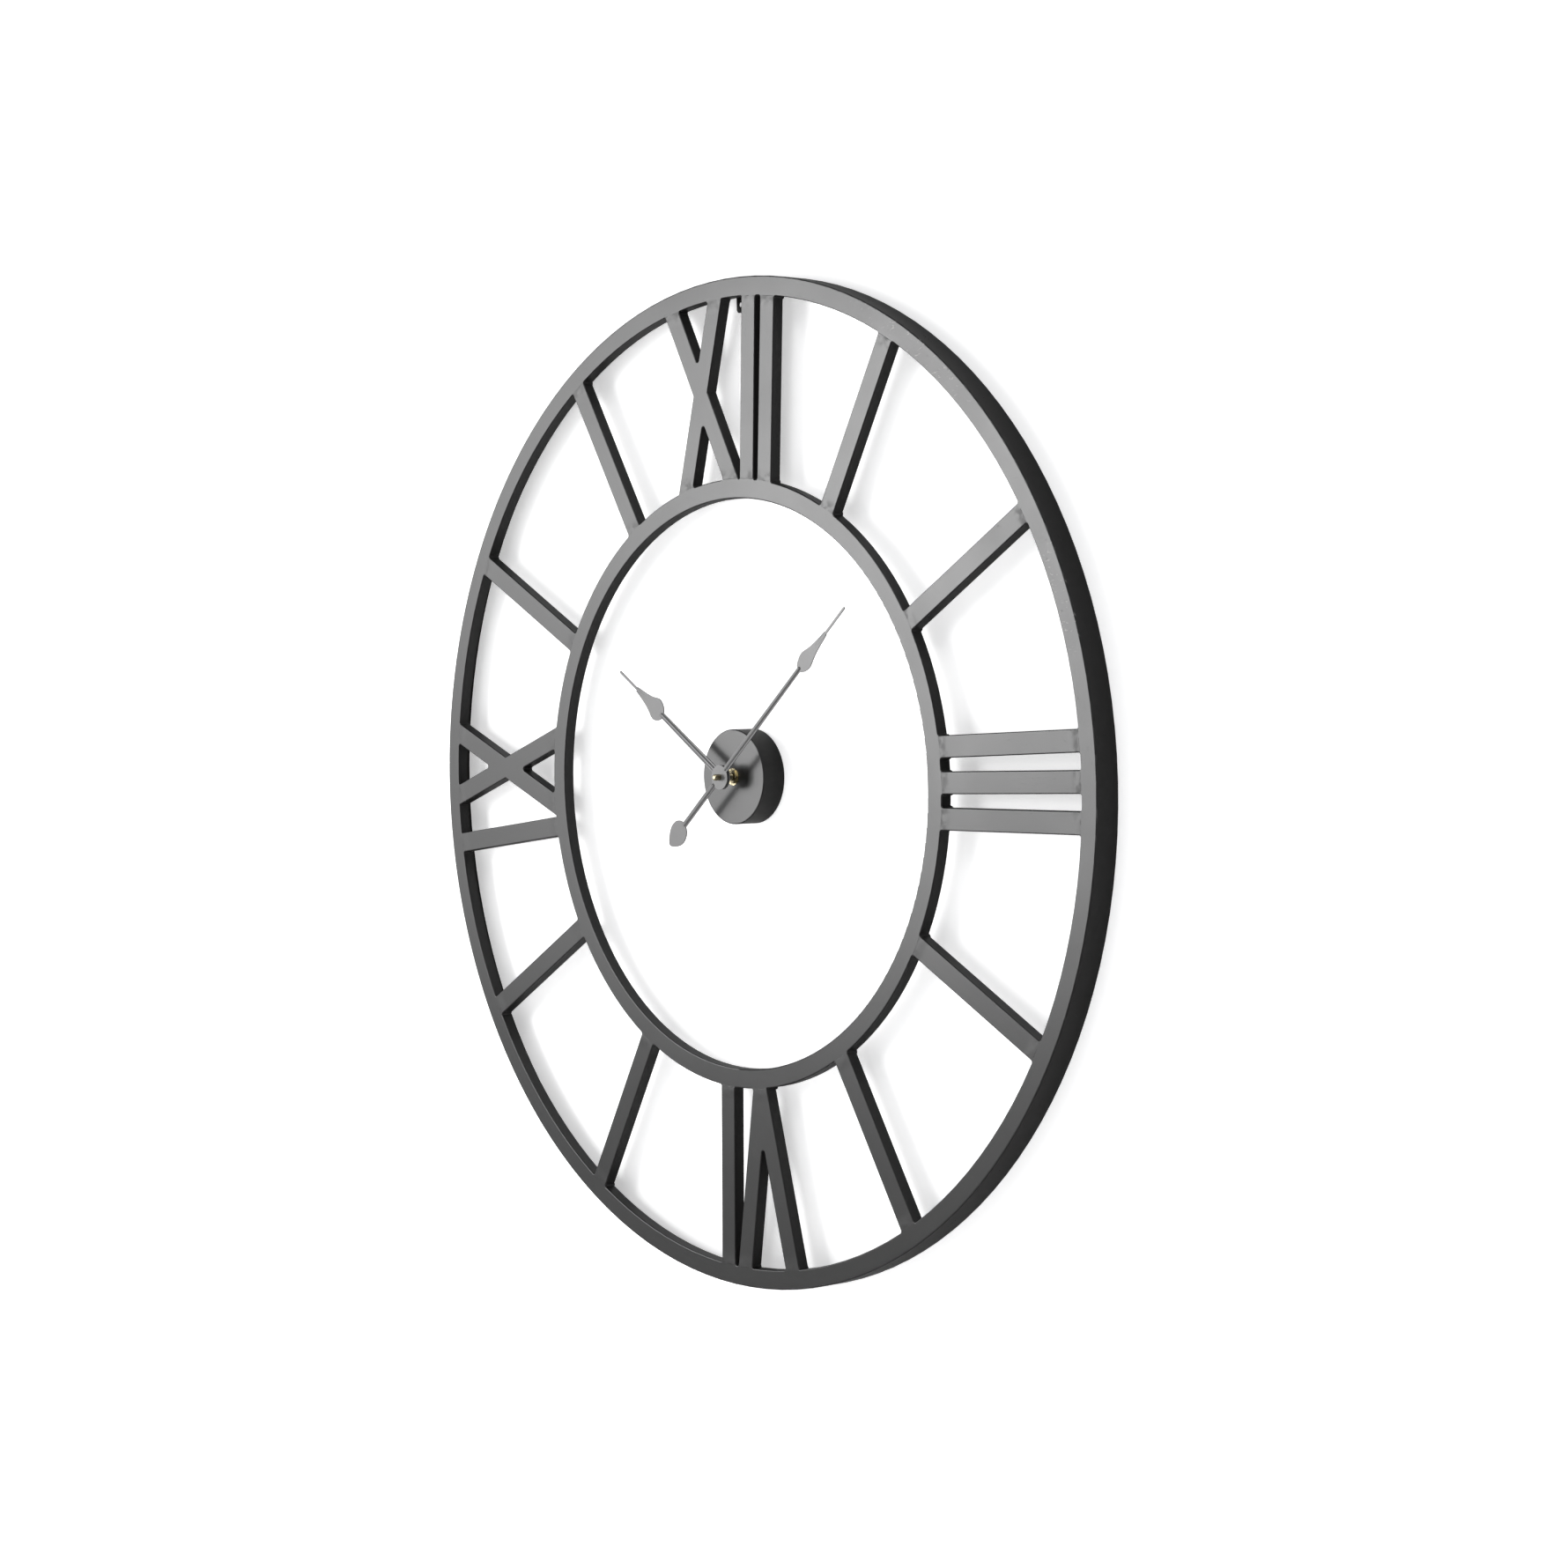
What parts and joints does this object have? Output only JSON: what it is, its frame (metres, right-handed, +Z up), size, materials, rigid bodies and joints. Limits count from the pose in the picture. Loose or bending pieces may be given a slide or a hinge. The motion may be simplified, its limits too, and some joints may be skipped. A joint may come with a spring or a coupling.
{
  "type": "wall clock",
  "caption": "Large skeleton wall clock: welded flat ring frame with open Roman numeral bars, round drum holding a quartz movement, and two spade hands on a brass bushing",
  "frame": {"origin": "at the centre of the two rings, in the plane of the wall that the clock hangs against; the hand axis is 8 mm above it", "axes": "+Z up to twelve o'clock, -Y out of the dial to the viewer, +X to three o'clock on the viewer's right; +Y into the wall"},
  "size_m": [1.0699, 0.0551, 1.07],
  "materials": {
    "frame_paint": "satin black powder coat, fine orange peel, faint weld heat marks",
    "hand_paint": "satin gunmetal coat on thin sheet",
    "brass": "turned brass, lightly tarnished",
    "case_plastic": "black moulded ABS, fine texture",
    "wheel_plastic": "natural acetal, moulded",
    "bare_steel": "bare steel, fine turned or rolled surface",
    "coil_copper": "enamelled copper wire, wound",
    "board_green": "green solder mask over copper tracks",
    "washer_rubber": "soft black rubber",
    "battery_label": "plain printed film over a steel can, bare ends"
  },
  "bodies": {
    "ring_frame": {"hour_01_bar": "frame_paint", "hour_02_bar": "frame_paint", "hour_04_bar": "frame_paint", "hour_05_bar": "frame_paint", "hour_07_bar": "frame_paint", "hour_08_bar": "frame_paint", "hour_10_bar": "frame_paint", "hour_11_bar": "frame_paint", "inner_ring_tube": "frame_paint", "numeral_iii_lower_bar": "frame_paint", "numeral_iii_middle_bar": "frame_paint", "numeral_iii_upper_bar": "frame_paint", "numeral_ix_i_bar": "frame_paint", "numeral_ix_x_inner_half_arm": "frame_paint", "numeral_ix_x_long_arm": "frame_paint", "numeral_ix_x_outer_half_arm": "frame_paint", "numeral_vi_i_bar": "frame_paint", "numeral_vi_v_left_arm": "frame_paint", "numeral_vi_v_right_arm": "frame_paint", "numeral_xii_left_i_bar": "frame_paint", "numeral_xii_right_i_bar": "frame_paint", "numeral_xii_x_inner_half_arm": "frame_paint", "numeral_xii_x_long_arm": "frame_paint", "numeral_xii_x_outer_half_arm": "frame_paint", "outer_hoop": "frame_paint", "outer_ring_tube": "frame_paint", "ring_hanger_tab": "frame_paint"},
    "drum": {"drum_can": "frame_paint", "movement_case_back": "case_plastic", "movement_case_front": "case_plastic", "threaded_bushing": "brass", "rubber_washer": "washer_rubber", "brass_washer": "brass", "hex_nut": "brass", "stator": "bare_steel", "coil_winding": "coil_copper", "circuit_board": "board_green", "chip_cover": "case_plastic", "quartz_crystal": "bare_steel", "battery_contact_plus": "bare_steel", "battery_contact_minus": "bare_steel"},
    "minute": {"minute_arbor": "bare_steel", "centre_wheel": "wheel_plastic", "minute_hand": "hand_paint", "minute_hand_collet": "brass", "cap_nut": "brass"},
    "hour": {"hour_wheel": "wheel_plastic", "hour_hand": "hand_paint", "hour_hand_collet": "brass"},
    "setting": {"motion_wheel": "wheel_plastic", "setting_knob": "case_plastic"},
    "third": {"third_wheel": "wheel_plastic"},
    "fourth": {"fourth_wheel": "wheel_plastic"},
    "fifth": {"fifth_wheel": "wheel_plastic"},
    "rotor": {"rotor_pinion": "bare_steel", "rotor_magnet": "bare_steel"},
    "battery": {"battery_cell": "battery_label"}
  },
  "joints": [
    {"name": "drum_lift_off", "type": "slide", "parent": "ring_frame", "child": "drum", "axis": [0, -1, 0], "range_m": [0, 0.06]},
    {"name": "minute_turn", "type": "hinge", "parent": "drum", "child": "minute", "pos_m": [0, -0.03, 0.008], "axis": [0, 1, 0], "continuous": true},
    {"name": "hour_turn", "type": "hinge", "parent": "drum", "child": "hour", "pos_m": [0, -0.03, 0.008], "axis": [0, 1, 0], "continuous": true},
    {"name": "setting_turn", "type": "hinge", "parent": "drum", "child": "setting", "pos_m": [-0.012, -0.015, 0.008], "axis": [0, 1, 0], "continuous": true},
    {"name": "third_turn", "type": "hinge", "parent": "drum", "child": "third", "pos_m": [0.00935, -0.018, 0.0134], "axis": [0, 1, 0], "continuous": true},
    {"name": "fourth_turn", "type": "hinge", "parent": "drum", "child": "fourth", "pos_m": [0.00154, -0.018, 0.01996], "axis": [0, 1, 0], "continuous": true},
    {"name": "fifth_turn", "type": "hinge", "parent": "drum", "child": "fifth", "pos_m": [-0.00683, -0.018, 0.02069], "axis": [0, 1, 0], "continuous": true},
    {"name": "rotor_turn", "type": "hinge", "parent": "drum", "child": "rotor", "pos_m": [-0.01359, -0.018, 0.01823], "axis": [0, 1, 0], "continuous": true},
    {"name": "battery_slide", "type": "slide", "parent": "drum", "child": "battery", "axis": [0, 1, 0], "range_m": [0, 0.02]}
  ],
  "couplings": [
    {"joint": "hour_turn", "follows": "minute_turn", "ratio": 0.083333},
    {"joint": "setting_turn", "follows": "minute_turn", "ratio": -0.33333},
    {"joint": "third_turn", "follows": "minute_turn", "ratio": -8},
    {"joint": "fourth_turn", "follows": "minute_turn", "ratio": 60},
    {"joint": "fifth_turn", "follows": "minute_turn", "ratio": -360},
    {"joint": "rotor_turn", "follows": "minute_turn", "ratio": 1800}
  ]
}
